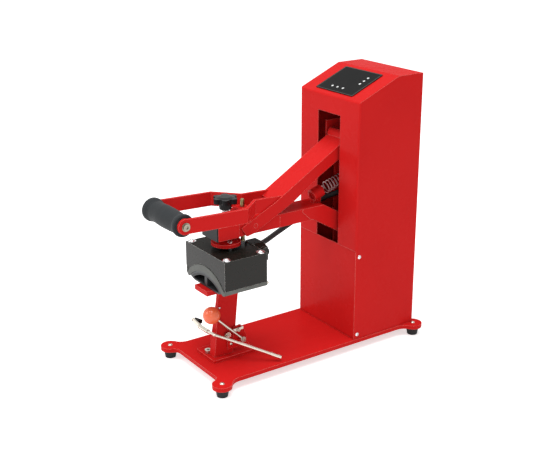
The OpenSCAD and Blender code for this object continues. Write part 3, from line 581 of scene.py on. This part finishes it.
# Heater cable, in the source's working millimetres, with the source's own keys
CABLE_R = 5.8
CABLE_SIDES = 18
CABLE_STEPS = 6   # steps of the curve between two keys
CABLE_KEYS = [(-25.4, -199, 226), (-30.2, -199, 226), (-34.6, -196, 224.4), (-36.6, -188, 220.2),
              (-35.4, -171, 216.2), (-34, -144.9, 222.1), (-34, -115, 234.5), (-34, -86.8, 246.2),
              (-34, -40, 266.5), (-34.8, -12, 284.5), (-32, -1, 290), (-31.2, 8, 292.5),
              (-28, 24, 297), (-20, 44, 303.5), (-12, 68, 309), (-9, 95, 308), (-8, 122, 293),
              (-8, 136, 266), (-8, 145, 249.6), (-8, 154, 249)]
HEAD_BEND = (3, 5)      # indices of the keys between which it bends with the head
TIED = 7                # index of the key where it is tied to the arm
TOWER_BEND = (11, 16)   # indices of the keys between which it bends inside the tower


def cable_piece(name, line, body_a, body_b, bend):
    """A stretch of the cable, which goes over from one body to the other along its bend."""
    blend_from, blend_to = [at(*CABLE_KEYS[key]) for key in bend]
    piece = tube_mesh(name, line, CABLE_R * MM, CABLE_SIDES)
    piece.data.materials.append(LOOKS["cable_rubber"])
    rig.slot(piece, "cable_rubber")
    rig.cord(piece, exit=line[0], length=path_length(line), diameter=2 * CABLE_R * MM,
            far_end="object", stiffness="medium", lay="taut", path=line)
    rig.blend(piece, body_a, body_b, blend_from, blend_to)
    return piece


whole_line = smooth([at(*p) for p in CABLE_KEYS], CABLE_STEPS)
cut = TIED * CABLE_STEPS
head_cable = cable_piece("head_cable", whole_line[:cut + 1], "head", "arm", HEAD_BEND)
tower_cable = cable_piece("tower_cable", whole_line[cut:], "arm", "frame", TOWER_BEND)
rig.replaces(head_cable, "heater_cable")

# Floor
FLOOR_SIZE = 16.0              # metres
FLOOR_GREY = (0.9, 0.9, 0.9)
FLOOR_GLOW = 0.6               # lifts the grey floor to white for the camera
WHITE = (1.0, 1.0, 1.0)


def floor_material():
    """Pale floor: takes the shadow, and is lifted to white for the camera."""
    look = Look("floor")
    diffuse = look.add("ShaderNodeBsdfDiffuse")
    look.put(diffuse.inputs["Color"], FLOOR_GREY)
    glow = look.add("ShaderNodeEmission")
    look.put(glow.inputs["Color"], WHITE)
    look.put(glow.inputs["Strength"], look.math("MULTIPLY", look.shown(), FLOOR_GLOW))
    both = look.add("ShaderNodeAddShader")
    look.put(both.inputs[0], diffuse.outputs[0])
    look.put(both.inputs[1], glow.outputs[0])
    look.put(look.out.inputs["Surface"], both.outputs[0])
    return look.material


bpy.ops.mesh.primitive_plane_add(size=FLOOR_SIZE, location=(0, 0, 0))
floor = bpy.context.object
floor.name = "floor"
floor.data.materials.append(floor_material())
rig.stage(floor)


# Lamps, in metres and watts
def area_light(name, place, target_height, size, power):
    """A round area lamp aimed at a point over the middle of the floor."""
    data = bpy.data.lights.new(name, "AREA")
    data.shape = "DISK"
    data.size = size
    data.energy = power
    lamp = bpy.data.objects.new(name, data)
    lamp.location = place
    aim = Vector((0, 0, target_height)) - Vector(place)
    lamp.rotation_euler = aim.to_track_quat("-Z", "Y").to_euler()
    bpy.context.scene.collection.objects.link(lamp)


area_light("top", (0.6, -0.8, 6.0), target_height=0.2, size=5.2, power=270)
area_light("front_left", (-1.2, -2.6, 1.8), target_height=0.3, size=1.8, power=21)
area_light("fill", (2.3, -1.7, 1.1), target_height=0.3, size=1.0, power=6)

# World: white where it is seen, and a weaker white as ambient light
AMBIENT = 0.44
SEEN_WHITE = 1.0
world = bpy.data.worlds.new("studio")
world.use_nodes = True
bpy.context.scene.world = world
sky = Graph(world.node_tree, "ShaderNodeOutputWorld")
pick = sky.add("ShaderNodeMixShader")
sky.put(pick.inputs["Fac"], sky.shown())
for shader_input, strength in zip(pick.inputs[1:], (AMBIENT, SEEN_WHITE)):
    background = sky.add("ShaderNodeBackground")
    sky.put(background.inputs["Color"], WHITE)
    sky.put(background.inputs["Strength"], strength)
    sky.put(shader_input, background.outputs[0])
sky.put(sky.out.inputs["Surface"], pick.outputs[0])

# Camera, solved from points of the symmetric object in the photo
AZIMUTH = math.radians(55.39)
PITCH = math.radians(19.39)
ROLL = math.radians(-0.11)
LENS = 65.24                                # mm on the sensor below
SENSOR = 36.0                               # mm
NEAR_CLIP = 0.05                            # metres
CAMERA_PLACE = (1649.7, -1279.2, 974.1)     # in the source's working mm

camera_data = bpy.data.cameras.new("camera")
camera_data.lens = LENS
camera_data.sensor_width = SENSOR
camera_data.clip_start = NEAR_CLIP
camera = bpy.data.objects.new("camera", camera_data)
bpy.context.scene.collection.objects.link(camera)
look_at = Vector((-math.sin(AZIMUTH) * math.cos(PITCH), math.cos(AZIMUTH) * math.cos(PITCH),
                  -math.sin(PITCH)))
right = Vector((math.cos(AZIMUTH), math.sin(AZIMUTH), 0))
up = right.cross(look_at)
turn = Matrix((right, up, -look_at)).transposed() @ Matrix.Rotation(ROLL, 3, "Z")
camera.matrix_world = Matrix.Translation(at(*CAMERA_PLACE)) @ turn.to_4x4()
bpy.context.scene.camera = camera
bpy.context.scene.view_settings.view_transform = "Standard"

with open("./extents.json", "w") as size_file:
    json.dump({"cad": [list(map(float, corner)) for corner in cad_box],
               "visual": [list(map(float, corner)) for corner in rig.bounds()]}, size_file)
